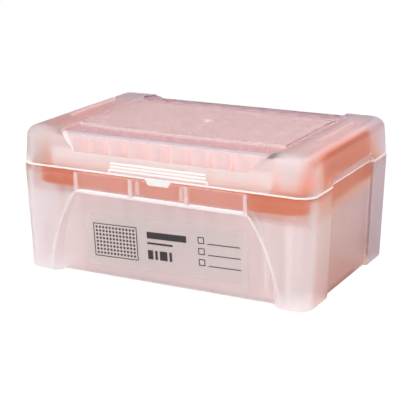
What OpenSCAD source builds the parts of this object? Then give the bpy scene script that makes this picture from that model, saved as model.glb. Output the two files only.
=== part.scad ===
// Box of pipette tips: a hinged, injection moulded polypropylene box with a
// snap-in tray that holds 96 tips on a 9 mm grid, eight rows by twelve columns.
// Millimetres, +Z up, the front faces -Y, the origin is the centre of the foot.

/* [Box] */
// Width of the rim, left to right
rim_w = 124.6; // [124:0.1:126]
// Depth of the rim, front to back
rim_d = 82; // [81.6:0.1:83]
// Height of the base, from the table to the rim
base_h = 43; // [43:0.25:44]
// Height of the lid, from the rim to the top of its shoulders
lid_h = 15; // [15:0.25:16]
// Thickness of the moulded walls
wall = 1.3; // [1.1:0.05:1.4]
// Corner radius at the rim
corner_r = 6.4; // [6:0.1:7]
// How far each wall of the base leans in from rim to foot
base_draft = 1.5; // [1.2:0.1:1.7]

/* [Front panel] */
// Height of the underside of the ledge over the front panel
ledge_z = 34.2; // [33.8:0.1:34.6]
// Thickness of the ledge
ledge_t = 1; // [0.8:0.1:1.2]
// Depth of the front panel behind the face of the box
panel_depth = 3; // [2.6:0.1:3.2]
// Half the width of the front panel under the ledge
arch_top = 36.8; // [36:0.1:37.5]
// Half the width of the front panel at the foot
arch_foot = 49.6; // [48:0.1:50]
// Depth of the pockets between the ledge and the rim
pocket_depth = 2; // [1.6:0.1:2.2]

/* [End grips] */
// Half the width of the recess in each end of the box
grip_half = 21.5; // [20:0.5:22.5]
// Depth of that recess at the rim
grip_depth = 1.7; // [1.4:0.1:1.8]
// Height of the scoop in each end of the lid
scoop_h = 3.9; // [3.5:0.1:5]

/* [Lid] */
// Radius of the lid's top edges
dome_r = 4.5; // [4:0.1:5]
// Depth of the channel that runs over the lid from front to back
channel_depth = 1; // [0.8:0.1:1.2]
// Half the width of the channel
channel_half = 47; // [46:0.5:48]
// Height of the lower edge of the window over the rim
window_sill = 7.2; // [6.8:0.1:7.6]
// Half the width of the window at that edge
window_half = 36.4; // [35:0.1:37.5]

/* [Hinge] */
// How far the lid opens
lid_opens = 110; // [90:5:110]
// Diameter of the hinge pins
pin_d = 2; // [1.8:0.1:2.1]
// Distance from the middle of the box to each hinge
hinge_x = 30; // [24:1:34]
// Width of each hook on the lid
hook_w = 8; // [6:0.5:9]

/* [Tips and tray] */
// Distance between neighbouring tips
pitch = 9; // [9:1:9]
// Height of the top face of the tray
deck_z = 43.6; // [43.2:0.1:44]
// Height of a tip's collar above the tray
collar_h = 11.5; // [11:0.1:11.8]
// Length of a tip
tip_len = 52.4; // [50:0.1:52.6]
// Diameter of a tip's collar
collar_d = 7.4; // [7:0.1:7.6]
// Height of the top of the handle at each end of the tray
handle_z = 55.2; // [52:0.1:55.4]

/* [Hidden] */

frosted = [0.93, 0.88, 0.90];
orange = [0.93, 0.52, 0.34];
natural = [0.96, 0.94, 0.93];
paper = [0.98, 0.96, 0.97];

columns = 12;
rows = 8;
far = 6;                 // how far a cutting body runs past the outside of the box
parting = 0.1;           // gap between the rim and the closed lid
foot_h = 0.75;           // underside of the floor, raised between the four feet
floor_t = 1.3;
foot_round = 0.9;
rib_t = 1.4;             // vertical ribs between the front pockets
rib_inner = 12;
rib_outer = arch_top - 0.6;
rim_t = 0.8;             // thickness of the rim over the pockets
bead_h = 0.7;            // bead round the lid's lower edge, flush with the rim
lip_h = 1.5;             // locating lip inside the lid
lip_t = 0.9;
lip_inset = wall + 0.35;
lid_inset = 0.2;         // the lid is a little smaller than the rim all round
lid_draft = 0.7;         // each wall of the lid leans in by this from rim to dome
lid_z = base_h + parting;
top_z = base_h + lid_h;
channel_z = top_z - channel_depth;
strip_y = 36;            // front and back edge of the channel's flat
hinge_y = rim_d / 2 - 0.25;
hinge_z = base_h - 1.8;
hinge_pocket = 2.6;      // depth of the pockets that the hinges sit in
hinge_wall = 1;          // and the wall behind them
pin_gap = 0.06;          // radial running clearance of hook on pin
hook_r = 1.9;
lug_t = 2;
lug_gap = 0.4;
tab_top = 5.3;           // half widths and length of the latch tab
tab_foot = 4.1;
tab_len = 2.2;
shelf_z = ledge_z + wall;
skirt_t = 1.2;
tray_half_w = 58.2;      // half width and depth of the tray at the foot of its skirt
tray_half_d = 37.4;
tray_lean = 0.4;
deck_t = 1.5;
handle_x = rim_w / 2 - grip_depth - wall - 0.3;  // outer face of the tray's handles
handle_foot = 26.5;      // half length of a handle where it leaves the deck
handle_top = 23.2;       // and at its top
panel_h = 0.7;           // height of the frosted panel over the strips beside it
corner_steps = 12;
$fn = 48;

// ---------------------------------------------------------------- helpers

// Points of a rounded rectangle w by d with corner radius r, at height z.
function ring(w, d, r, z) = [
    for (q = [[1, 1, 0], [-1, 1, 90], [-1, -1, 180], [1, -1, 270]])
        for (i = [0:corner_steps])
            let (a = q[2] + 90 * i / corner_steps)
            [q[0] * (w / 2 - r) + r * cos(a), q[1] * (d / 2 - r) + r * sin(a), z]];

// Points from p to q on an arc that stands sag away from the chord, to its right.
function bow(p, q, sag, n) =
    let (c = (q - p) / 2,
         half = norm(c),
         radius = (half * half + sag * sag) / (2 * sag),
         side = [c[1], -c[0]] / half,
         centre = p + c - side * (radius - sag),
         a0 = atan2(p[1] - centre[1], p[0] - centre[0]),
         a1 = atan2(q[1] - centre[1], q[0] - centre[0]))
    [for (i = [0:n]) let (a = a0 + (a1 - a0) * i / n) centre + radius * [cos(a), sin(a)]];

// Closed solid through a list of rings that all have the same number of points.
module loft(rings) {
    n = len(rings[0]);
    last = len(rings) - 1;
    points = [for (one = rings) each one];
    sides = [for (k = [0:last - 1]) for (i = [0:n - 1])
        let (a = k * n + i, b = k * n + (i + 1) % n)
        each [[a, a + n, b], [b, a + n, b + n]]];
    foot = [[for (i = [0:n - 1]) i]];
    head = [[for (i = [n - 1:-1:0]) last * n + i]];
    polyhedron(points, concat(foot, sides, head));
}

// Block that runs from one rounded rectangle to another, with its top edges
// rounded by r_top where that is given.
module domed_block(w, d, r, z0, z1, lean, r_top, steps) {
    w1 = w - 2 * lean;
    d1 = d - 2 * lean;
    r1 = r - lean / 2;
    dome = [for (i = [0:steps]) let (a = 90 * i / steps, in = r_top * (1 - cos(a)))
        ring(w1 - 2 * in, d1 - 2 * in, r1 - in, z1 - r_top + r_top * sin(a))];
    loft(concat([ring(w, d, r, z0)], dome));
}

module mirrored(axis) {
    children();
    mirror(axis) children();
}

// Runs a profile drawn in (y, z) along X, over a width w centred on x = 0.
module along_x(w) {
    rotate([90, 0, 90])
        translate([0, 0, -w / 2])
            linear_extrude(w) children();
}

// ---------------------------------------------------------------- base

// The leaning block of the base, smaller by inset all round.
module base_block(inset, z0, z1) {
    lean_at = function (z) base_draft * (1 - z / base_h);
    loft([
        ring(rim_w - 2 * (inset + lean_at(z0) + foot_round), rim_d - 2 * (inset + lean_at(z0) + foot_round),
             corner_r - inset / 2 - foot_round - 1, z0),
        ring(rim_w - 2 * (inset + lean_at(z0) + 0.25 * foot_round), rim_d - 2 * (inset + lean_at(z0) + 0.25 * foot_round),
             corner_r - inset / 2 - 0.25 * foot_round - 1, z0 + 0.3 * foot_round),
        ring(rim_w - 2 * (inset + lean_at(z0 + foot_round)), rim_d - 2 * (inset + lean_at(z0 + foot_round)),
             corner_r - inset / 2 - 1, z0 + foot_round),
        ring(rim_w - 2 * (inset + lean_at(z1)), rim_d - 2 * (inset + lean_at(z1)),
             corner_r - inset / 2, z1)]);
}

// Outline of the arched front panel, at depth y_top under the ledge and y_foot at the foot.
function arch(half_top, half_foot, top, y_top, y_foot) =
    let (low = -far / 3,
         side = bow([half_foot, low], [half_top, top], 2.6, 16),
         left = [for (i = [len(side) - 1:-1:0]) [-side[i][0], side[i][1]]],
         y_at = function (z) y_foot + (y_top - y_foot) * z / top)
    [for (p = concat(side, left)) [p[0], y_at(p[1]), p[1]]];

// The arched recess in the front. grow = 0 is the recess itself, grow = wall is
// the space that the wall behind it fills.
module front_recess(grow) {
    face = -rim_d / 2;
    loft([
        arch(arch_top - 0.5 + grow, arch_foot - 3.2 + grow, ledge_z + grow,
             face + panel_depth + grow, face + panel_depth + base_draft + grow),
        arch(arch_top + grow, arch_foot + grow, ledge_z + grow,
             face + 0.6, face + 0.6),
        arch(arch_top + grow, arch_foot + grow, ledge_z + grow,
             face - far, face - far)]);
}

// The three pockets between the ledge and the rim.
module front_pockets(grow) {
    spans = [[-rib_outer, -rib_inner], [-rib_inner, rib_inner], [rib_inner, rib_outer]];
    z0 = ledge_z + ledge_t - grow;
    for (s = spans) {
        x0 = s[0] + rib_t / 2 - grow;
        x1 = s[1] - rib_t / 2 + grow;
        translate([x0, -rim_d / 2 - far, z0])
            cube([x1 - x0, far + pocket_depth + grow, base_h - rim_t - z0 + grow]);
    }
}

// The recess in each end that fingers lift the lid by.
module end_recess(grow) {
    top = base_h + 1;
    half = grip_half + grow;
    x_in = rim_w / 2 - grip_depth - grow;
    lean = base_draft * 0.8;
    outline = function (x_top, x_foot, h)
        [[x_foot, -h, -far / 3], [x_foot, h, -far / 3], [x_top, h, top], [x_top, -h, top]];
    mirrored([1, 0, 0])
        loft([outline(x_in, x_in - lean, half - 0.4),
              outline(rim_w / 2 + far, rim_w / 2 + far, half + 0.6)]);
}

// Pockets in the back wall that the hinges sit in.
module hinge_pockets(grow) {
    w = hook_w + 2 * (lug_gap + lug_t) + 2 * grow;
    z0 = ledge_z + ledge_t - grow;
    mirrored([1, 0, 0])
        translate([hinge_x - w / 2, rim_d / 2 - hinge_pocket - grow, z0])
            cube([w, far + grow, base_h + 2 - z0]);
}

// One pin between its two lugs.
module hinge_pin() {
    span = hook_w + 2 * lug_gap;
    wall_y = rim_d / 2 - hinge_pocket;
    translate([hinge_x, 0, 0]) {
        translate([0, hinge_y, hinge_z])
            rotate([0, 90, 0])
                cylinder(d = pin_d, h = span + 2 * lug_t - 0.4, center = true);
        for (side = [-1, 1])
            translate([side * (span + lug_t) / 2, 0, 0])
                along_x(lug_t) {
                    translate([hinge_y, hinge_z]) circle(r = 1.5);
                    polygon([[wall_y - 0.5, hinge_z - 4.6], [wall_y - 0.5, hinge_z + 0.6],
                             [hinge_y - 0.8, hinge_z + 1.2], [hinge_y + 1.2, hinge_z - 0.8]]);
                }
    }
}

// Lip round the rim that the lid drops over, left out where the ends are recessed
// and where the hinges are.
module locating_lip() {
    outer = lip_inset;
    inner = lip_inset + lip_t;
    root = 0.8;
    difference() {
        loft([ring(rim_w - 2 * inner, rim_d - 2 * inner, corner_r - 1, base_h - 3.5),
              ring(rim_w - 2 * root, rim_d - 2 * root, corner_r - 0.5, base_h - 1.8),
              ring(rim_w - 2 * root, rim_d - 2 * root, corner_r - 0.5, base_h)]);
        loft([ring(rim_w - 2 * inner, rim_d - 2 * inner, corner_r - 1.4, base_h - 4),
              ring(rim_w - 2 * inner, rim_d - 2 * inner, corner_r - 1.4, base_h + 1)]);
        lip_gaps();
    }
    difference() {
        loft([ring(rim_w - 2 * outer, rim_d - 2 * outer, corner_r - 0.5, base_h - 0.5),
              ring(rim_w - 2 * outer, rim_d - 2 * outer, corner_r - 0.5, base_h + lip_h - 0.4),
              ring(rim_w - 2 * outer - 0.4, rim_d - 2 * outer - 0.4, corner_r - 0.7, base_h + lip_h)]);
        loft([ring(rim_w - 2 * inner, rim_d - 2 * inner, corner_r - 1.4, base_h - 1),
              ring(rim_w - 2 * inner, rim_d - 2 * inner, corner_r - 1.4, base_h + lip_h + 1)]);
        lip_gaps();
    }
}

module lip_gaps() {
    cube([2 * rim_w, 2 * grip_half + 4, 4 * base_h], center = true);
    mirrored([1, 0, 0])
        translate([hinge_x, rim_d / 2, base_h])
            cube([hook_w + 2 * (lug_gap + lug_t) + 3, 12, 14], center = true);
}

// Small catch post on the wall of the middle pocket.
module catch_post() {
    y = pocket_depth - rim_d / 2;
    foot = 36.6;
    top = 40.5;
    r = 0.7;
    translate([9.5, y + 0.3, 0])
        rotate([90, 0, 0])
            linear_extrude(1.2) {
                translate([-r, foot]) square([2 * r, top - foot]);
                translate([0, top]) circle(r = r);
            }
}

module base() {
    color(frosted) {
        difference() {
            union() {
                difference() {
                    base_block(0, 0, base_h);
                    difference() {
                        base_block(wall, foot_h + floor_t, base_h + 2);
                        front_recess(wall);
                        front_pockets(wall);
                        end_recess(wall);
                        hinge_pockets(hinge_wall);
                    }
                }
                locating_lip();
            }
            front_recess(0);
            front_pockets(0);
            end_recess(0);
            hinge_pockets(0);
            // the floor stands clear of the table between the feet
            translate([0, 0, foot_h - far])
                linear_extrude(far) {
                    square([2 * (arch_foot - 3.6), 2 * rim_d], center = true);
                    square([2 * rim_w, 2 * grip_half], center = true);
                }
            // notch in the rim for the latch tab
            translate([0, -rim_d / 2 + 1.7, 0])
                rotate([90, 0, 0])
                    linear_extrude(far)
                        polygon([[-tab_top - 0.8, base_h + 0.5], [-tab_foot - 0.9, base_h - rim_t - 0.6],
                                 [tab_foot + 0.9, base_h - rim_t - 0.6], [tab_top + 0.8, base_h + 0.5]]);
        }
        mirrored([1, 0, 0]) hinge_pin();
        mirrored([1, 0, 0]) catch_post();
    }
}

// ---------------------------------------------------------------- lid

// The channel over the top, cut down to channel_z less grow.
module top_channel(grow) {
    half = channel_half + grow;
    front = channel_half - 2.8 + grow;
    translate([0, 0, channel_z - grow])
        linear_extrude(far)
            polygon([[-half, -31], [-front, -37 - grow], [-front, -rim_d], [front, -rim_d],
                     [front, -37 - grow], [half, -31], [half, 31], [front, 37 + grow],
                     [front, rim_d], [-front, rim_d], [-front, 37 + grow], [-half, 31]]);
}

// The sloping window that the channel runs out through, front and back.
module window_cut(grow) {
    sill_z = base_h + window_sill;
    sill_y = rim_d / 2 - lid_inset - 0.4;
    run = (sill_y - strip_y) / (channel_z - sill_z);
    slope_y = function (z) -(strip_y + (channel_z - z) * run) + grow * 1.2;
    high = top_z + 1;
    low = sill_z - 3;
    mirrored([0, 1, 0])
        intersection() {
            along_x(rim_w)
                polygon([[slope_y(high), high], [slope_y(low), low], [-rim_d, low], [-rim_d, high]]);
            rotate([90, 0, 0])
                linear_extrude(rim_d)
                    polygon([[-window_half - grow + 3, low], [window_half + grow - 3, low],
                             [window_half + grow + (high - sill_z), high],
                             [-window_half - grow - (high - sill_z), high]]);
        }
}

// Scoop in each end of the lid, over the grip recess of the base.
module end_scoop(grow) {
    half = grip_half - 0.4 + grow;
    round = 2.5;
    top = base_h + scoop_h + grow;
    outer = rim_w / 2 - lid_inset - 0.4;
    inner = rim_w / 2 - grip_depth;
    mirrored([1, 0, 0])
        intersection() {
            rotate([90, 0, 90])
                linear_extrude(rim_w)
                    offset(r = round)
                        translate([-half + round, base_h / 2])
                            square([2 * (half - round), top - round - base_h / 2]);
            rotate([90, 0, 0])
                linear_extrude(2 * rim_d, center = true)
                    polygon([[inner - grow, base_h - 1], [inner - grow, base_h + 0.6], [outer - grow, base_h + scoop_h],
                             [outer - grow + 0.6, top + 1], [rim_w, top + 1], [rim_w, base_h - 1]]);
        }
}

// Outline of the frosted panel, between two bowed edges.
module panel_outline(edge_y) {
    bow_r = 440;
    intersection() {
        square([2 * (channel_half - 2.6), 2 * edge_y + 2], center = true);
        translate([0, bow_r - edge_y]) circle(r = bow_r, $fn = 240);
        translate([0, edge_y - bow_r]) circle(r = bow_r, $fn = 240);
    }
}

// Frosted panel, a little proud of the clear strips, with the mark of the
// moulding gate in the middle.
module frosted_panel() {
    edge_y = 26.4;
    gate_d = 5;
    difference() {
        union() {
            translate([0, 0, channel_z - wall / 2])
                linear_extrude(wall / 2 + panel_h / 2) panel_outline(edge_y);
            translate([0, 0, channel_z])
                linear_extrude(panel_h) panel_outline(edge_y - 0.7);
        }
        translate([0, 0, channel_z + panel_h - 0.25]) cylinder(d = gate_d, h = 1);
    }
    translate([0, 0, channel_z]) cylinder(d = 1.2, h = panel_h + 0.1);
}

// Rib along a shoulder, with a nub at each end, that locates a box stacked on top.
module shoulder_rib() {
    half = 17;
    middle = [53.9, 1.3];
    translate([middle[0], middle[1], top_z]) {
        cube([1, 2 * half, 1.4], center = true);
        for (y = [-half, half])
            translate([0, y, -0.3]) cylinder(d = 1.3, h = 1);
    }
}

// Three ridges that a thumb pushes up on, and the latch tab under them. The
// lowest ridge turns down to the rim at both ends.
module thumb_grip() {
    face = -rim_d / 2 + lid_inset;
    ridge_r = 0.5;
    ridge_half = 20.3;
    ridge_z = lid_z + 1.8;
    ridge_pitch = 1.3;
    translate([0, face + ridge_r - 0.35, 0]) {
        for (k = [0:2])
            translate([0, 0, ridge_z + k * ridge_pitch])
                rotate([0, 90, 0]) cylinder(r = ridge_r, h = 2 * ridge_half, center = true);
        mirrored([1, 0, 0]) {
            translate([ridge_half, 0, ridge_z - 0.6])
                rotate([90, 0, 0])
                    rotate_extrude(angle = 90) translate([0.6, 0]) circle(r = ridge_r);
            translate([ridge_half + 0.6, 0, lid_z])
                cylinder(r = ridge_r, h = ridge_z - 0.6 - lid_z);
        }
    }
    translate([0, face + 1.2, 0])
        rotate([90, 0, 0])
            linear_extrude(1.2)
                polygon([[-tab_top - 1, lid_z + 1.5], [-tab_top, lid_z], [-tab_foot, lid_z - tab_len],
                         [tab_foot, lid_z - tab_len], [tab_top, lid_z], [tab_top + 1, lid_z + 1.5]]);
}

// Hook that snaps over a hinge pin, with a heel that meets the back wall when the lid is open.
module hinge_hook() {
    arm_in = rim_d / 2 - lid_inset - wall;
    translate([hinge_x, 0, 0])
        along_x(hook_w)
            difference() {
                union() {
                    translate([hinge_y, hinge_z]) circle(r = hook_r);
                    translate([arm_in, hinge_z + 0.6]) square([wall - 0.15, lid_z + 3 - hinge_z]);
                    translate([hinge_y, hinge_z])
                        rotate(lid_opens - 180)
                            translate([0, -0.6]) square([hook_r + 0.2, 1.2]);
                }
                translate([hinge_y, hinge_z]) circle(r = pin_d / 2 + pin_gap);
                translate([hinge_y, hinge_z])
                    rotate(-140)
                        translate([0, -0.8]) square([4, 1.6]);
            }
}

module lid() {
    w = rim_w - 2 * lid_inset;
    d = rim_d - 2 * lid_inset;
    color(frosted) {
        difference() {
            union() {
                domed_block(w, d, corner_r, lid_z, top_z, lid_draft, dome_r, 6);
                loft([ring(rim_w - 0.1, rim_d - 0.1, corner_r, lid_z),
                      ring(rim_w - 0.1, rim_d - 0.1, corner_r, lid_z + bead_h - 0.2),
                      ring(w - 0.2, d - 0.2, corner_r, lid_z + bead_h)]);
            }
            top_channel(0);
            window_cut(0);
            end_scoop(0);
            difference() {
                domed_block(w - 2 * wall, d - 2 * wall, corner_r - wall / 2, lid_z - 1, top_z - wall,
                            lid_draft, dome_r - wall, 6);
                top_channel(wall);
                window_cut(wall);
                end_scoop(wall);
            }
        }
        frosted_panel();
        mirrored([1, 0, 0]) shoulder_rib();
        thumb_grip();
        mirrored([1, 0, 0]) hinge_hook();
    }
}

// ---------------------------------------------------------------- tray

// The tray's shape, smaller by inset all round.
module tray_block(inset, z0, z1, r_top) {
    domed_block(2 * (tray_half_w - inset), 2 * (tray_half_d - inset), 8 - inset / 2, z0, z1,
                tray_lean, r_top, 3);
}

// Plate that stands up at each end of the deck, to lift the tray by.
module tray_handle() {
    round = 3;
    foot = deck_z - deck_t;
    translate([handle_x - skirt_t, 0, 0])
        rotate([90, 0, 90])
            linear_extrude(skirt_t)
                intersection() {
                    offset(r = round)
                        polygon([[round - handle_foot, foot], [handle_foot - round, foot],
                                 [handle_top - round, handle_z - round], [round - handle_top, handle_z - round]]);
                    translate([-handle_foot, foot]) square([2 * handle_foot, handle_z]);
                }
    // the deck runs out to meet it
    translate([tray_half_w - 2, 1 - handle_foot, foot])
        cube([handle_x - tray_half_w + 1.5, 2 * handle_foot - 2, deck_t]);
}

module tip_tray() {
    hole_d = 6;
    rib_h = 5;
    color(orange) {
        difference() {
            union() {
                difference() {
                    tray_block(0, shelf_z + 0.05, deck_z, 1);
                    tray_block(skirt_t, shelf_z - 1, deck_z - deck_t, 0.6);
                }
                // stiffening ribs under the deck, between the rows and the columns
                translate([0, 0, deck_z - 1 - rib_h / 2]) {
                    for (y = [-2 * pitch, 0, 2 * pitch])
                        translate([0, y, 0]) cube([2 * tray_half_w - 3, 1, rib_h], center = true);
                    for (x = [-3 * pitch, 0, 3 * pitch])
                        translate([x, 0, 0]) cube([1, 2 * tray_half_d - 3, rib_h], center = true);
                }
            }
            for (i = [0:columns - 1], j = [0:rows - 1])
                translate([(i - (columns - 1) / 2) * pitch, (j - (rows - 1) / 2) * pitch, deck_z - 3])
                    cylinder(d = hole_d, h = 6);
        }
        mirrored([1, 0, 0]) tray_handle();
    }
}

// ---------------------------------------------------------------- label

// Film stuck on the front panel by hand, a little off the middle and a little crooked.
module label() {
    width = 70;
    height = 21;
    round = 2;
    film = 0.12;
    middle = [0.8, 15.9];
    crooked = 1.8;
    y_foot = -rim_d / 2 + panel_depth + base_draft;
    lean = atan(base_draft / ledge_z);
    color(paper)
        translate([middle[0], y_foot, 0])
            rotate([90 + lean, 0, 0])
                translate([0, middle[1], 0])
                    rotate(crooked)
                        linear_extrude(film)
                            offset(r = round) square([width - 2 * round, height - 2 * round], center = true);
}

// ---------------------------------------------------------------- tips

// Half section of one tip, (radius, height) from its open end downwards.
function tip_profile() =
    let (r = collar_d / 2, n = tip_len)
    [[3.05, 0], [r, 0], [r, -1.2], [r - 0.1, -1.4], [r - 0.15, -collar_h], [2.75, -collar_h],
     [2.2, -20], [1.3, -38], [0.5, -n], [0.27, -n], [0.9, -38], [1.85, -20], [2.65, -8], [2.8, -1.2]];

module tips_column(number) {
    color(natural)
        for (j = [0:rows - 1])
            translate([(number - (columns + 1) / 2) * pitch, (j - (rows - 1) / 2) * pitch, deck_z + collar_h])
                rotate_extrude() polygon(tip_profile());
}

// ---------------------------------------------------------------- the parts

base();
lid();
tip_tray();
label();
for (c = [1:columns])
    tips_column(c);
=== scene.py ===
import math

import bpy
from mathutils import Matrix, Vector


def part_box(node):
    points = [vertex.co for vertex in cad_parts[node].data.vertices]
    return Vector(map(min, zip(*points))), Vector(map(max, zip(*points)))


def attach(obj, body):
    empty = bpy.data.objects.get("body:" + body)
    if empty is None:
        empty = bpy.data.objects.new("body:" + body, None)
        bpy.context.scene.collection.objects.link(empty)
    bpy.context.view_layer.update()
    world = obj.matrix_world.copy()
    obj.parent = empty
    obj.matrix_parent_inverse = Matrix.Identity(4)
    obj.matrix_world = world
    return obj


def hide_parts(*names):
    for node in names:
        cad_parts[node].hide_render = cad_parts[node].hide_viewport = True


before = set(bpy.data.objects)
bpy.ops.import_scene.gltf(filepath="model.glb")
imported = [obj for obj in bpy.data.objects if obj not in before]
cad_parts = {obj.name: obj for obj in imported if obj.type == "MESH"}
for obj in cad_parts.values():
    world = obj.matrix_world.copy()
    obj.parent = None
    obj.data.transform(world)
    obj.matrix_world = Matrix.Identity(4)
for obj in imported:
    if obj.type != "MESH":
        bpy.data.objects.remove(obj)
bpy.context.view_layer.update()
MM = 0.001

# ---------------------------------------------------------------- table and light
# The box stands on a white laminate table in even, soft light: five square lamps, from the left,
# above, the front, the right and behind, in a bright plain room.


def linear(code):
    """Linear colour of an sRGB hex code."""
    parts = [int(code[i : i + 2], 16) / 255 for i in (1, 3, 5)]
    return [p / 12.92 if p <= 0.04045 else ((p + 0.055) / 1.055) ** 2.4 for p in parts] + [1.0]


def add(tree, kind, settings=None, links=None):
    """Adds a node, sets its properties and socket values, and links its sockets."""
    made = tree.nodes.new(kind)
    for name, value in (settings or {}).items():
        if isinstance(name, str) and hasattr(made, name):
            setattr(made, name, value)
        else:
            made.inputs[name].default_value = value
    for name, source in (links or {}).items():
        tree.links.new(source, made.inputs[name])
    return made


def new_material(name):
    """An empty material, and its node tree."""
    material = bpy.data.materials.new(name)
    material.use_nodes = True
    material.node_tree.nodes.clear()
    return material, material.node_tree


def seen_directly(tree, second_hand):
    """1 for what is seen straight, second_hand for it in a reflection or through the plastic."""
    path = add(tree, "ShaderNodeLightPath")
    either = add(tree, "ShaderNodeMath", {"operation": "MAXIMUM"},
                 {0: path.outputs["Is Glossy Ray"], 1: path.outputs["Is Transmission Ray"]})
    weaker = add(tree, "ShaderNodeMath", {"operation": "MULTIPLY", 1: second_hand},
                 {0: either.outputs[0]})
    return add(tree, "ShaderNodeMath", {"operation": "MAXIMUM"},
               {0: path.outputs["Is Camera Ray"], 1: weaker.outputs[0]}).outputs[0]


# The room lights the box weakly. The white backdrop is only what is seen straight, and a little of
# it shows through the plastic and in its gloss.
world = bpy.data.worlds.new("studio_room")
bpy.context.scene.world = world
world.use_nodes = True
world.node_tree.nodes.clear()
room = add(world.node_tree, "ShaderNodeBackground", {"Color": linear("#EDEFF6"), "Strength": 0.2})
backdrop = add(world.node_tree, "ShaderNodeBackground", {"Color": (1, 1, 1, 1), "Strength": 1.0})
sight = add(world.node_tree, "ShaderNodeMixShader", None,
            {0: seen_directly(world.node_tree, 0.15), 1: room.outputs[0], 2: backdrop.outputs[0]})
add(world.node_tree, "ShaderNodeOutputWorld", None, {"Surface": sight.outputs[0]})

# White laminate is matt and takes the box's soft shadow. Most of it glows, so that the table runs
# into the backdrop without an edge.
finish, tree = new_material("white laminate table")
laminate = add(tree, "ShaderNodeBsdfDiffuse", {"Color": linear("#F4F3F3")})
glow = add(tree, "ShaderNodeEmission", {"Color": (1, 1, 1, 1), "Strength": 1.03})
share = add(tree, "ShaderNodeMath", {"operation": "MULTIPLY", 1: 0.95}, {0: seen_directly(tree, 0.45)})
surface = add(tree, "ShaderNodeMixShader", None,
              {0: share.outputs[0], 1: laminate.outputs[0], 2: glow.outputs[0]})
add(tree, "ShaderNodeOutputMaterial", None, {"Surface": surface.outputs[0]})

bpy.ops.mesh.primitive_plane_add(size=6, location=(0, 0, 0))
table = bpy.context.object
table.name = "table"
table.data.materials.append(finish)


def soft_lamp(name, place, size, power, tint):
    """Square area lamp at place, in metres, that points at the middle of the box."""
    bpy.ops.object.light_add(type="AREA", location=place)
    lamp = bpy.context.object
    lamp.name = name
    lamp.data.size = size
    lamp.data.energy = power
    lamp.data.color = linear(tint)[:3]
    aim = Vector((0, 0, 0.03)) - Vector(place)
    lamp.rotation_euler = aim.to_track_quat("-Z", "Y").to_euler()


soft_lamp("key_lamp", (-0.49, -0.66, 0.74), 0.9, 3.0, "#FFFFFF")
soft_lamp("top_lamp", (-0.15, -0.25, 1.0), 0.7, 9.6, "#FFFFFF")
soft_lamp("front_lamp", (-0.1, -1.0, 0.45), 0.7, 0.9, "#FFFFFF")
soft_lamp("side_lamp", (1.0, -0.1, 0.45), 0.7, 4.0, "#FFF8F2")
soft_lamp("back_lamp", (0.1, 0.9, 0.6), 0.7, 1.2, "#F6F4FF")

# ---------------------------------------------------------------- camera
# It looks a little down on the box from the front right, from half a metre away, level to within
# half a degree.
AIM = Vector((-3.57, 0, 24.71)) * MM
DISTANCE = 514.5 * MM
TURN, RISE, ROLL = (math.radians(a) for a in (27.8, 16.09, -0.43))
back = Vector((math.sin(TURN) * math.cos(RISE), -math.cos(TURN) * math.cos(RISE), math.sin(RISE)))
level = Vector((0, 0, 1)).cross(back).normalized()
upright = back.cross(level)
right = level * math.cos(ROLL) + upright * math.sin(ROLL)
up = upright * math.cos(ROLL) - level * math.sin(ROLL)
bpy.ops.object.camera_add()
camera = bpy.context.object
turn = Matrix((right, up, back)).transposed().to_4x4()
camera.matrix_world = Matrix.Translation(AIM + back * DISTANCE) @ turn
camera.data.lens = 114.6
camera.data.sensor_width = 36
camera.data.clip_start = 0.01
bpy.context.scene.camera = camera
bpy.context.scene.view_settings.view_transform = "Standard"

# ---------------------------------------------------------------- base
# The lower half of the box, one injection moulding of natural polypropylene. The mould is spark
# eroded outside, which frosts the skin, and polished inside. It stands on four corner feet, and
# its rim carries the lid's hinges and catches.
SKIN, INSIDE, EDGE, CLEAR, STRIP, BACK, BENT, SCOOP = range(8)

# Polypropylene's own index is 1.49. The walls take a lower one, so that they mirror less of the
# room and pass more light to the tray and the tips behind them. LET_BY is the part of the light
# that a wall passes straight on into a shadow, and HEAVY the part that still passes where the
# plastic is thick.
BEND = 1.25
LET_BY = (0.955, 0.945, 0.95, 1)
HEAVY = 0.12

# Places on the moulding, in millimetres. The right half is drawn and the left one mirrors it, so a
# place from MIDLINE on spans the middle.
MIDLINE = -1
FRONT = -42
PANEL_BACK = -39
GROUND = -1
rim_height = 42.4
ledge_low, ledge_high = 34.2, 35.2
arch_half = 36.8
arch_middle, arch_radius = (-22.4, -7.1), 72.6
rib_places = (12, 36.2)
post_place = 9.5


def round_edges(piece, chosen, width, segments, material=-1):
    """Bevels, by width metres, the edges whose two ends chosen says yes to."""
    bpy.ops.object.select_all(action="DESELECT")
    bpy.context.view_layer.objects.active = piece
    piece.select_set(True)
    bpy.ops.object.mode_set(mode="EDIT")
    bpy.ops.mesh.select_mode(type="EDGE")
    bpy.ops.mesh.select_all(action="DESELECT")
    bpy.ops.object.mode_set(mode="OBJECT")
    points = piece.data.vertices
    for edge in piece.data.edges:
        edge.select = chosen(*(points[end].co for end in edge.vertices))
    bpy.ops.object.mode_set(mode="EDIT")
    bpy.ops.mesh.bevel(offset=width, segments=segments, profile=0.5, affect="EDGES",
                       loop_slide=False, material=material)
    bpy.ops.object.mode_set(mode="OBJECT")


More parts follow.
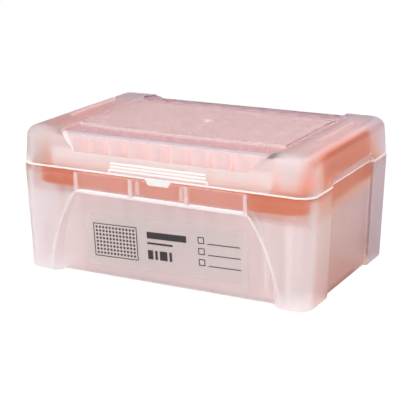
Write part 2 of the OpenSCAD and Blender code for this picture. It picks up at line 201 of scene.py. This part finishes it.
def moulded_copy(node, name, edge, finishes, bend=None):
    """Copy of a moulded piece, merged into a clean mesh, with its edges rounded by edge metres.
    bend says which points lie on a bend that gets a wider round of 1.2 mm first."""
    bpy.ops.object.select_all(action="DESELECT")
    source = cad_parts[node]
    piece = source.copy()
    piece.data = source.data.copy()
    piece.parent = None
    piece.name = name
    bpy.context.collection.objects.link(piece)
    for key in list(piece.keys()):
        del piece[key]
    bpy.context.view_layer.objects.active = piece
    piece.select_set(True)
    bpy.ops.object.mode_set(mode="EDIT")
    bpy.ops.mesh.select_all(action="SELECT")
    bpy.ops.mesh.remove_doubles(threshold=0.004 * MM)
    bpy.ops.mesh.dissolve_limited(angle_limit=math.radians(1))
    bpy.ops.object.mode_set(mode="OBJECT")
    piece.data.materials.clear()
    for finish in finishes:
        piece.data.materials.append(finish)
    for face in piece.data.polygons:
        face.material_index = SKIN
    if bend:
        round_edges(piece, lambda start, end: bend(*(start / MM)) and bend(*(end / MM)),
                    1.2 * MM, 3, BENT)
    bevel = piece.modifiers.new("rounded edges", "BEVEL")
    bevel.width = edge
    bevel.segments = 2
    bevel.limit_method = "ANGLE"
    bevel.angle_limit = math.radians(38)
    bevel.material = EDGE
    bpy.ops.object.modifier_apply(modifier=bevel.name)
    bpy.ops.object.shade_smooth_by_angle(angle=math.radians(40))
    flats = piece.modifiers.new("flat faces stay flat", "WEIGHTED_NORMAL")
    flats.keep_sharp = True
    bpy.ops.object.modifier_apply(modifier=flats.name)
    return piece


def near_box(tree, place, low, high, soft, most=1.0):
    """most inside the box from low to high, in millimetres, fading to 0 over soft beyond it."""
    middle = [(a + b) / 2 * MM for a, b in zip(low, high)]
    half = [(b - a) / 2 * MM for a, b in zip(low, high)]
    offset = add(tree, "ShaderNodeVectorMath", {"operation": "SUBTRACT", 1: middle}, {0: place})
    away = add(tree, "ShaderNodeVectorMath", {"operation": "ABSOLUTE"}, {0: offset.outputs[0]})
    past = add(tree, "ShaderNodeVectorMath", {"operation": "SUBTRACT", 1: half}, {0: away.outputs[0]})
    parts = add(tree, "ShaderNodeSeparateXYZ", None, {0: past.outputs[0]})
    flat = add(tree, "ShaderNodeMath", {"operation": "MAXIMUM"}, {0: parts.outputs[0], 1: parts.outputs[1]})
    far = add(tree, "ShaderNodeMath", {"operation": "MAXIMUM"}, {0: flat.outputs[0], 1: parts.outputs[2]})
    return add(tree, "ShaderNodeMapRange",
               {"From Min": 0.0, "From Max": soft * MM, "To Min": most, "To Max": 0.0},
               {"Value": far.outputs[0]}).outputs[0]


def near_arc(tree, place, middle, radius, half_width, soft, most=1.0):
    """most along a circle in the plane of the front, in millimetres, fading to 0 beside it."""
    start = (middle[0] * MM, 0, middle[1] * MM)
    offset = add(tree, "ShaderNodeVectorMath", {"operation": "SUBTRACT", 1: start}, {0: place})
    flat = add(tree, "ShaderNodeVectorMath", {"operation": "MULTIPLY", 1: (1, 0, 1)}, {0: offset.outputs[0]})
    reach = add(tree, "ShaderNodeVectorMath", {"operation": "LENGTH"}, {0: flat.outputs[0]})
    away = add(tree, "ShaderNodeMath", {"operation": "SUBTRACT", 1: radius * MM},
               {0: reach.outputs["Value"]})
    size = add(tree, "ShaderNodeMath", {"operation": "ABSOLUTE"}, {0: away.outputs[0]})
    return add(tree, "ShaderNodeMapRange",
               {"From Min": half_width * MM, "From Max": (half_width + soft) * MM,
                "To Min": most, "To Max": 0.0},
               {"Value": size.outputs[0]}).outputs[0]


def most_of(tree, shares):
    """The largest of some values."""
    kept = shares[0]
    for share in shares[1:]:
        kept = add(tree, "ShaderNodeMath", {"operation": "MAXIMUM"}, {0: kept, 1: share}).outputs[0]
    return kept


def mirrored_place(tree):
    """Object coordinates with the left half folded on to the right."""
    here = add(tree, "ShaderNodeTexCoord").outputs["Object"]
    parts = add(tree, "ShaderNodeSeparateXYZ", None, {0: here})
    side = add(tree, "ShaderNodeMath", {"operation": "ABSOLUTE"}, {0: parts.outputs[0]})
    return add(tree, "ShaderNodeCombineXYZ", None,
               {0: side.outputs[0], 1: parts.outputs[1], 2: parts.outputs[2]}).outputs[0]


def moulded_plastic(name, tint, milk, haze, glow=0.0, grain=0.0, thick=None, walls=()):
    """Natural polypropylene. Light passes it. haze blurs what is behind it, milk is the white it
    shows in front, glow is the share of the light behind it that it spreads all ways, and grain
    is the depth of its frosting. Each of the walls is an axis, the places in millimetres along it
    where the wall's look is full and where it ends, its haze and its tint, which is painted light
    and shade. thick is a function that gives the thick places, where the plastic turns milky, and
    the places painted milky white as painted light and highlights, and their colour."""
    finish, tree = new_material(name)
    body = add(tree, "ShaderNodeBsdfPrincipled",
               {"Base Color": linear(tint), "Roughness": haze, "IOR": BEND,
                "Transmission Weight": 1 - milk, "Specular IOR Level": 0.3})
    place = mirrored_place(tree)
    parts = add(tree, "ShaderNodeSeparateXYZ", None, {0: place})
    rough = colour = None
    for axis, full, none, wall_haze, painted_light_tint in walls:
        share = add(tree, "ShaderNodeMapRange",
                    {"From Min": full * MM, "From Max": none * MM, "To Min": 1.0, "To Max": 0.0},
                    {"Value": parts.outputs[axis]}).outputs[0]
        rougher = add(tree, "ShaderNodeMix", {"data_type": "FLOAT", 2: haze, 3: wall_haze},
                      {"Factor": share})
        tinted = add(tree, "ShaderNodeMix", {"data_type": "RGBA", 6: linear(tint), 7: linear(painted_light_tint)},
                     {"Factor": share})
        if rough:
            tree.links.new(rough, rougher.inputs[2])
            tree.links.new(colour, tinted.inputs[6])
        rough = rougher.outputs[0]
        colour = tinted.outputs[2]
    if thick:
        thick_places, thick_tint = thick
        share = thick_places(tree, place)
        clear = add(tree, "ShaderNodeMix", {"data_type": "FLOAT", 2: 1 - milk, 3: HEAVY},
                    {"Factor": share})
        tree.links.new(clear.outputs[0], body.inputs["Transmission Weight"])
        whiter = add(tree, "ShaderNodeMix", {"data_type": "RGBA", 6: linear(tint), 7: linear(thick_tint)},
                     {"Factor": share})
        if colour:
            tree.links.new(colour, whiter.inputs[6])
        colour = whiter.outputs[2]
    if rough:
        tree.links.new(rough, body.inputs["Roughness"])
    if colour:
        tree.links.new(colour, body.inputs["Base Color"])
    if grain:
        # Spark erosion leaves pits of about 0.05 mm. They are drawn 0.9 mm wide, to show at all.
        here = add(tree, "ShaderNodeTexCoord").outputs["Object"]
        frost = add(tree, "ShaderNodeTexNoise", {"Scale": 1 / (0.9 * MM), "Detail": 3.0}, {"Vector": here})
        relief = add(tree, "ShaderNodeBump", {"Strength": grain, "Distance": 0.05 * MM},
                     {"Height": frost.outputs[0]})
        tree.links.new(relief.outputs[0], body.inputs["Normal"])
    outer = body.outputs[0]
    if glow:
        spread = add(tree, "ShaderNodeBsdfTranslucent", {"Color": linear(tint)})
        outer = add(tree, "ShaderNodeMixShader", {0: glow}, {1: outer, 2: spread.outputs[0]}).outputs[0]
    path = add(tree, "ShaderNodeLightPath")
    let_by = add(tree, "ShaderNodeBsdfTransparent", {"Color": LET_BY})
    thrown_back = add(tree, "ShaderNodeBsdfDiffuse", {"Color": linear(tint)})
    bounce = add(tree, "ShaderNodeMixShader", {0: 0.3}, {1: let_by.outputs[0], 2: thrown_back.outputs[0]})
    inside = add(tree, "ShaderNodeMixShader", None,
                 {0: path.outputs["Is Diffuse Ray"], 1: outer, 2: bounce.outputs[0]})
    mixed = add(tree, "ShaderNodeMixShader", None,
                {0: path.outputs["Is Shadow Ray"], 1: inside.outputs[0], 2: let_by.outputs[0]})
    add(tree, "ShaderNodeOutputMaterial", None, {"Surface": mixed.outputs[0]})
    return finish


def polish_inside(piece, closed_side):
    """Gives the polished finish to the faces shut in on all sides but the piece's open one."""
    walls = [Vector(way) for way in ((1, 0, 0), (-1, 0, 0), (0, 1, 0), (0, -1, 0), closed_side)]
    mesh = piece.data
    mesh.calc_loop_triangles()
    largest = {}
    for part in mesh.loop_triangles:
        if part.area > largest.get(part.polygon_index, (0, None))[0]:
            middle = sum((mesh.vertices[v].co for v in part.vertices), Vector()) / 3
            largest[part.polygon_index] = (part.area, middle)
    for face in mesh.polygons:
        if face.material_index == SKIN and face.index in largest:
            start = largest[face.index][1] + face.normal * 0.02 * MM
            if all(piece.ray_cast(start, way)[0] for way in walls):
                face.material_index = INSIDE


def base_thick_and_painted_light(tree, place):
    """The ledge over the front panel, the ribs, the catch posts, the arch's edge, the pockets under
    the rim and the feet, where the plastic is thick; and painted light on the low front wall and
    the corner pillars, which are made milkier to look lighter."""
    ledge = near_box(tree, place, (MIDLINE, FRONT, ledge_low), (arch_half, PANEL_BACK, ledge_high), 0.2)
    post_low = (post_place - 0.7, FRONT, 36)
    post_high = (post_place + 0.7, PANEL_BACK, 41.3)
    posts = near_box(tree, place, post_low, post_high, 0.1, 0.5)
    front = near_box(tree, place, (30, FRONT, GROUND), (60, -39.6, 34.3), 0.1)
    arch = near_arc(tree, place, arch_middle, arch_radius, 0.45, 0.3, 0.8)
    arch_edge = add(tree, "ShaderNodeMath", {"operation": "MULTIPLY"}, {0: arch, 1: front}).outputs[0]
    # Painted light: the low front wall is made milkier, to look lighter than its shade.
    low_wall = near_box(tree, place, (MIDLINE, FRONT, GROUND), (63, -36, 32.5), 2.0, 0.42)
    feet = near_box(tree, place, (52, FRONT, GROUND), (62, -36, 32), 2.0, 0.5)
    # Painted light: a paler band on the corner pillar, for the light along it.
    pillar = near_box(tree, place, (59, -38, GROUND), (63, -22, 41), 1.5, 0.35)
    pocket_low = (MIDLINE, -39.6, 35)
    pocket_high = (arch_half, -36, rim_height - 0.1)
    pockets = near_box(tree, place, pocket_low, pocket_high, 0.3, 0.2)
    parts = [ledge, posts, pockets, arch_edge, low_wall, feet, pillar]
    for x in rib_places:
        rib_low = (x - 0.75, FRONT, 35)
        rib_high = (x + 0.75, -40.2, rim_height - 0.1)
        parts.append(near_box(tree, place, rib_low, rib_high, 0.15, 0.6))
    return most_of(tree, parts)


# Inside, the polished mould leaves the plastic glossy and clear, with a faint blur.
polished = moulded_plastic("polished polypropylene", "#F8F2F4", 0.03, 0.12)

# Along the rounded edges the plastic is thick, so it scatters the light and looks milk white. On
# the lid the same finish is a painted highlight on the step round the raised panel and the facets
# beside the windows.
milky = moulded_plastic("thick polypropylene edge", "#FAEAE8", 0.75, 0.35)

# The frosted skin blurs what is behind it to soft patches, and has a fine grain. The real plastic
# has one colour. Its pink tint and the tints of its walls are painted light: the tray's orange
# light beside the tray, at the ends and at the rim, and painted shade, greyer under the tray,
# towards the back and where the walls are turned from the lamps.
X, Y, Z = range(3)
base_haze_and_painted_light = [
    (X, 62, 58, 0.33, "#F2D8CE"),  # the ends
    (Y, 26, -24, 0.33, "#D2ACAC"),  # growing from front to back
    (Z, 4, 24, 0.33, "#E0B0A4"),  # growing downwards, under the tray
    (Z, 35, 32, 0.33, "#F0B08A"),  # beside the tray
    (Y, 24, 20, 0.35, "#C4B0B8"),  # all that is near the back
    (Y, -36.5, -33, 0.5, "#F8F2F4"),  # the front
    (Y, 40.6, 39.6, 0.35, "#E6DADE"),  # the back
    (Z, 43, 42.3, 0.35, "#ECB48E"),  # the rim
]
frosted = moulded_plastic("frosted polypropylene base", "#F2DCD4", 0.05, 0.35, 0.06, 0.3,
                          (base_thick_and_painted_light, "#F8F2F6"), base_haze_and_painted_light)
base = moulded_copy("base", "base_moulding", 0.3 * MM, [frosted, polished, milky])
polish_inside(base, (0, 0, -1))
for face in base.data.polygons:
    if face.center.z > rim_height * MM and face.material_index == EDGE:
        face.material_index = SKIN
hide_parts("base")
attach(base, "base")

# ---------------------------------------------------------------- lid
# The lid is one moulding of the same plastic, and turns on two hooks at the back. Its mould is
# polished for the windows front and back and the strips beside the raised panel on top, which
# come out clear, and spark eroded for the rest.
top_height = 57
strip_half = 47
channel_half = 36


def lid_thick_and_painted_light(tree, place):
    """The bead round the lower edge, the thumb grip and the mark of the gate, where the plastic is
    thick; and painted light: painted highlights in milk white on the grip's ridges, the ribs on the
    shoulders and the top front edges of the shoulders, and milkier, lighter paint on the low front
    and the corners, where the lamps light them."""
    bead = near_box(tree, place, (MIDLINE, -45, 40), (70, 45, 43.65), 0.1)
    # Painted highlights: the ridges of the grip are made solid milk white.
    ridges = near_box(tree, place, (MIDLINE, FRONT, 43), (22, -40.84, 48.2), 0.04)
    grip = near_box(tree, place, (MIDLINE, FRONT, 40.5), (20.5, -40.2, 48.4), 0.5, 0.5)
    # Painted light: the low front is made milkier, to look lighter where the lamps light it.
    front = near_box(tree, place, (MIDLINE, FRONT, 43), (46, -39.5, 50.5), 1.5, 0.42)
    outer = near_box(tree, place, (strip_half, FRONT, 43), (63, -36, 54), 3.0, 0.1)
    # Painted light: the corners are made milkier and paler where the lamps light them.
    corner = near_box(tree, place, (61.5, -41, 44), (63, -30, 52), 3.0, 0.35)
    # Painted highlights: the ribs on the shoulders are made milk white along their length.
    ribs = near_box(tree, place, (53.2, -16, 58.1), (54.6, 19, 59), 0.1, 0.4)
    # Painted highlight: a milk white band along the top front edge of each shoulder.
    dome = near_box(tree, place, (50, FRONT, 54), (58, -37, 57), 3.0, 0.25)
    gate = near_box(tree, place, (MIDLINE, -0.5, 57.6), (0.5, 0.5, 59), 0.5, 0.8)
    return most_of(tree, [bead, ridges, grip, front, outer, corner, ribs, dome, gate])


def over_a_window(x, y, z):
    """The bend where the flat top turns down into a sloping window."""
    return abs(z - top_height) < 0.02 and abs(abs(y) - channel_half) < 0.05 and abs(x) < 46


# The lid's frosted skin is the base's. Its pink tint and the tints of its walls are painted light:
# the tray's orange at the ends, where its handles stand close behind them, pink on the top, paler
# and cooler at the front, and painted shade, greyer towards the back.
lid_haze_and_painted_light = [
    (Z, 57.7, 57.3, 0.24, "#FFE4E6"),  # the raised panel, thin and close over the tips
    (X, 46.6, 46.2, 0.35, "#FFE0E0"),  # the shoulders
    (X, 62.3, 59, 0.33, "#E8AC82"),  # the ends
    (Y, -34, -29, 0.35, "#F4E4E0"),  # the front corners
    (Y, 33, 23, 0.35, "#DCD0DA"),  # all that is near the back
    (Y, 41, 35, 0.35, "#D2BAC6"),  # the back
    (Y, -41, -35, 0.8, "#E2E8EA"),  # the front
]
frosted_lid = moulded_plastic("frosted polypropylene lid", "#FBE2E4", 0.06, 0.35, 0.06, 0.3,
                              (lid_thick_and_painted_light, "#F4F5F4"), lid_haze_and_painted_light)

# Polished on both sides, the plastic is nearly as clear as glass. The strips are painted pink for
# the light of the orange deck under them. The back window is turned from the lamps and is painted
# greyer for its shade, with a dark mauve painted reflection of dark surroundings along its top edge.
window = moulded_plastic("clear polypropylene window", "#F2E6EA", 0.04, 0.08)
strip = moulded_plastic("clear polypropylene strip", "#EABCC6", 0.03, 0.06)
back_window = moulded_plastic("clear polypropylene back window", "#D0BCC8", 0.05, 0.1,
                              walls=[(Y, channel_half, 36.5, 0.1, "#8E728C")])

# The bend over each window is rounded, and its milky white is a painted highlight, the soft white
# line of the lamps' light along it.
bent = moulded_plastic("polypropylene bend over the windows", "#F2E6EE", 0.45, 0.3)

# The scoops in the ends are turned to the table, and they are painted greyer for the shade that
# falls on them, with the skin's grain.
scoop = moulded_plastic("frosted polypropylene scoop", "#D2B8BC", 0.3, 0.4, 0.0, 0.3)

lid = moulded_copy("lid", "lid_moulding", 0.2 * MM,
                   [frosted_lid, polished, milky, window, strip, back_window, bent, scoop],
                   over_a_window)
polish_inside(lid, (0, 0, 1))
for face in lid.data.polygons:
    x, y, z = face.center / MM
    tilt = face.normal
    beside_window = z > 50 and abs(y) > 35 and 36 < abs(x) < strip_half
    flat_strip = abs(z - top_height) < 0.1 and tilt.z > 0.99 and abs(x) < strip_half
    sloping = z > 50 and abs(y) > channel_half and 0.3 < tilt.z < 0.95 and abs(tilt.x) < 0.05
    step = top_height < z < 57.75 and abs(tilt.y) > 0.3 and abs(y) < 27.5
    facet = beside_window and abs(tilt.x) > 0.3 and tilt.x * x < 0
    scooped = z < 48 and abs(x) > 58 and abs(y) < 22 and tilt.z < -0.05 and tilt.x * x > 0.1
    beside_strip = z > 56.5 and 45 < x < 48.5 and abs(y) < 34
    if flat_strip:
        face.material_index = STRIP
    elif sloping and abs(x) < 42 and face.material_index == SKIN:
        face.material_index = CLEAR
    # Painted highlights: the step round the raised panel and the facets beside the windows take the milky
    # finish.
    elif step or facet:
        face.material_index = EDGE
    if scooped:
        face.material_index = SCOOP
    if beside_strip and face.material_index == EDGE:
        face.material_index = BENT
    if z > 49 and y > 34.5 and abs(x) < strip_half and face.material_index != INSIDE:
        face.material_index = BACK
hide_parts("lid")
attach(lid, "lid")

# ---------------------------------------------------------------- tray
# The tray is one orange polypropylene moulding. It drops into the base and rests on the shelf. Its
# deck carries the tips in 96 holes, with ribs under it, and a handle stands up at each end.

# Coloured polypropylene is solid to the eye, with a satin sheen, and the pigment flows into slightly
# lighter and darker patches about 14 mm wide. It lets a little orange light by. The satin grain is
# drawn 0.5 mm wide, about ten times the real one, to show.
finish, tree = new_material("orange polypropylene")
here = add(tree, "ShaderNodeTexCoord").outputs["Object"]
flow = add(tree, "ShaderNodeTexNoise", {"Scale": 1 / (14 * MM), "Detail": 2.0}, {"Vector": here})
pigment = add(tree, "ShaderNodeMix",
              {"data_type": "RGBA", 6: linear("#D6661A"), 7: linear("#E07424")},
              {"Factor": flow.outputs[0]})
satin = add(tree, "ShaderNodeTexNoise", {"Scale": 1 / (0.5 * MM), "Detail": 2.0}, {"Vector": here})
relief = add(tree, "ShaderNodeBump", {"Strength": 0.2, "Distance": 0.03 * MM}, {"Height": satin.outputs[0]})
skin = add(tree, "ShaderNodeBsdfPrincipled", {"Roughness": 0.4},
           {"Base Color": pigment.outputs[2], "Normal": relief.outputs[0]})
path = add(tree, "ShaderNodeLightPath")
let_by = add(tree, "ShaderNodeBsdfTransparent", {"Color": (0.85, 0.5, 0.35, 1)})
mixed = add(tree, "ShaderNodeMixShader", None,
            {0: path.outputs["Is Shadow Ray"], 1: skin.outputs[0], 2: let_by.outputs[0]})
add(tree, "ShaderNodeOutputMaterial", None, {"Surface": mixed.outputs[0]})
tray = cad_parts["tip_tray"]
tray.data.materials.clear()
tray.data.materials.append(finish)

# ---------------------------------------------------------------- tips
# The tips are thin hollow cones, moulded in clear natural polypropylene. Each hangs by its collar
# in a hole of the tray, and the twelve pieces hold a column of eight tips each.

# Seen through the lid, a full tray of thin clear tips looks like pale frosted glass, lit from
# inside. They pass half of the light on in all directions, and keep a gloss from the polished
# mould, with slight waves of 2.5 mm in it.
finish, tree = new_material("clear polypropylene tips")
here = add(tree, "ShaderNodeTexCoord").outputs["Object"]
flow = add(tree, "ShaderNodeTexNoise", {"Scale": 1 / (2.5 * MM), "Detail": 2.0}, {"Vector": here})
relief = add(tree, "ShaderNodeBump", {"Strength": 0.1, "Distance": 0.05 * MM}, {"Height": flow.outputs[0]})
pale = add(tree, "ShaderNodeMix",
           {"data_type": "RGBA", 6: linear("#F2ECEA"), 7: linear("#FAF4F2")},
           {"Factor": flow.outputs[0]})
skin = add(tree, "ShaderNodeBsdfPrincipled",
           {"Roughness": 0.3, "Coat Weight": 1.0, "Coat Roughness": 0.1},
           {"Base Color": pale.outputs[2], "Normal": relief.outputs[0]})
spread = add(tree, "ShaderNodeBsdfTranslucent", None, {"Color": pale.outputs[2]})
body = add(tree, "ShaderNodeMixShader", {0: 0.5}, {1: skin.outputs[0], 2: spread.outputs[0]})
path = add(tree, "ShaderNodeLightPath")
let_by = add(tree, "ShaderNodeBsdfTransparent", {"Color": (0.96, 0.94, 0.94, 1)})
mixed = add(tree, "ShaderNodeMixShader", None,
            {0: path.outputs["Is Shadow Ray"], 1: body.outputs[0], 2: let_by.outputs[0]})
add(tree, "ShaderNodeOutputMaterial", None, {"Surface": mixed.outputs[0]})
columns = 12
for number in range(1, columns + 1):
    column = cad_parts[f"tips_column_{number:02d}"]
    column.data.materials.clear()
    column.data.materials.append(finish)

# ---------------------------------------------------------------- label
# A thin clear film, printed in black and stuck on the front panel by hand, a little crooked. The
# print is a plain one: a plan of the plate, some bars, and boxes with lines to write on.
label_low, label_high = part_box("label")
film_middle = (label_low + label_high) / 2
film_size = (70 * MM, 21 * MM, 0.12 * MM)
film_round = 2 * MM
panel_lean = 2.51
film_turn = (math.radians(90 + panel_lean), 0, 0)
crooked = (0, 0, math.radians(1.8))
off_panel = Vector((0, -0.03, 0)) * MM

bpy.ops.object.select_all(action="DESELECT")
bpy.ops.mesh.primitive_cube_add(size=1)
film = bpy.context.object
film.name = "label_film"
film.scale = film_size
bpy.ops.object.transform_apply(scale=True)
round_edges(film, lambda start, end: abs(start.z - end.z) > film_size[2] / 2, film_round, 6)
film.rotation_euler = crooked
bpy.ops.object.transform_apply(rotation=True)
film.rotation_euler = film_turn
film.location = film_middle + off_panel
bpy.ops.object.transform_apply(location=True, rotation=True)

# Clear glossy film. Between the print only its faint shine and a slight veil are seen, and the ink
# is a solid warm black.
finish, tree = new_material("printed label film")
here = add(tree, "ShaderNodeTexCoord").outputs["Object"]
centred = add(tree, "ShaderNodeVectorMath", {"operation": "SUBTRACT", 1: film_middle}, {0: here})
standing = add(tree, "ShaderNodeMapping", {"vector_type": "TEXTURE", "Rotation": film_turn},
               {0: centred.outputs[0]})
flat = add(tree, "ShaderNodeMapping", {"vector_type": "TEXTURE", "Rotation": crooked},
           {0: standing.outputs[0]}).outputs[0]
line = 0.35


def bar(left, low, width, height):
    """1 on a printed bar, in millimetres from the middle of the film."""
    return near_box(tree, flat, (left, low, -1), (left + width, low + height, 1), 0.06)


def outline(left, low, width, height):
    """1 on the outline of a printed box."""
    inner = bar(left + line, low + line, width - 2 * line, height - 2 * line)
    return add(tree, "ShaderNodeMath", {"operation": "SUBTRACT", "use_clamp": True},
               {0: bar(left, low, width, height), 1: inner}).outputs[0]


# The plan has a dot for each tip: the place within one cell of its grid is found, and then the
# distance from the middle of that cell.
plan_left, plan_low, plan_width, plan_height = -31.5, -6.5, 19.5, 13.5
tip_rows = 8
dot_pitch = 1.5
dots_width = columns * dot_pitch
dots_height = tip_rows * dot_pitch
dots_left = plan_left + (plan_width - dots_width) / 2
dots_low = plan_low + (plan_height - dots_height) / 2
from_corner = add(tree, "ShaderNodeVectorMath",
                  {"operation": "SUBTRACT", 1: (dots_left * MM, dots_low * MM, 0)}, {0: flat})
in_cell = add(tree, "ShaderNodeVectorMath", {"operation": "MODULO", 1: [dot_pitch * MM] * 3},
              {0: from_corner.outputs[0]})
half_cell = dot_pitch / 2 * MM
from_middle = add(tree, "ShaderNodeVectorMath", {"operation": "SUBTRACT", 1: (half_cell, half_cell, 0)},
                  {0: in_cell.outputs[0]})
across = add(tree, "ShaderNodeVectorMath", {"operation": "MULTIPLY", 1: (1, 1, 0)},
             {0: from_middle.outputs[0]})
reach = add(tree, "ShaderNodeVectorMath", {"operation": "LENGTH"}, {0: across.outputs[0]})
dot = add(tree, "ShaderNodeMapRange",
          {"From Min": 0.42 * MM, "From Max": 0.55 * MM, "To Min": 1.0, "To Max": 0.0},
          {"Value": reach.outputs["Value"]})
dots = add(tree, "ShaderNodeMath", {"operation": "MULTIPLY"},
           {0: dot.outputs[0], 1: bar(dots_left, dots_low, dots_width, dots_height)})

printed = [dots.outputs[0], outline(plan_left, plan_low, plan_width, plan_height)]
printed.append(bar(-7.5, 3.2, 17, 2.6))
printed.append(bar(-7.5, 0.9, 11, 0.7))
for left, width in ((-7.5, 2.2), (-4.3, 1.0), (-2.3, 3.2), (1.9, 1.0)):
    printed.append(bar(left, -5.2, width, 3.6))
tick_box = 2.6
for row in range(3):
    low = 3.6 - 4.4 * row
    printed.append(outline(14.5, low, tick_box, tick_box))
    printed.append(bar(18.6, low, 13.4, 0.3))
ink = most_of(tree, printed)
colour = add(tree, "ShaderNodeMix", {"data_type": "RGBA", 6: linear("#F8ECEA"), 7: linear("#2A2427")},
             {"Factor": ink})
cover = add(tree, "ShaderNodeMapRange", {"To Min": 0.16, "To Max": 0.93}, {"Value": ink})
skin = add(tree, "ShaderNodeBsdfPrincipled", {"Roughness": 0.3},
           {"Base Color": colour.outputs[2], "Alpha": cover.outputs[0]})
add(tree, "ShaderNodeOutputMaterial", None, {"Surface": skin.outputs[0]})
film.data.materials.append(finish)
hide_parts("label")
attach(film, "base")
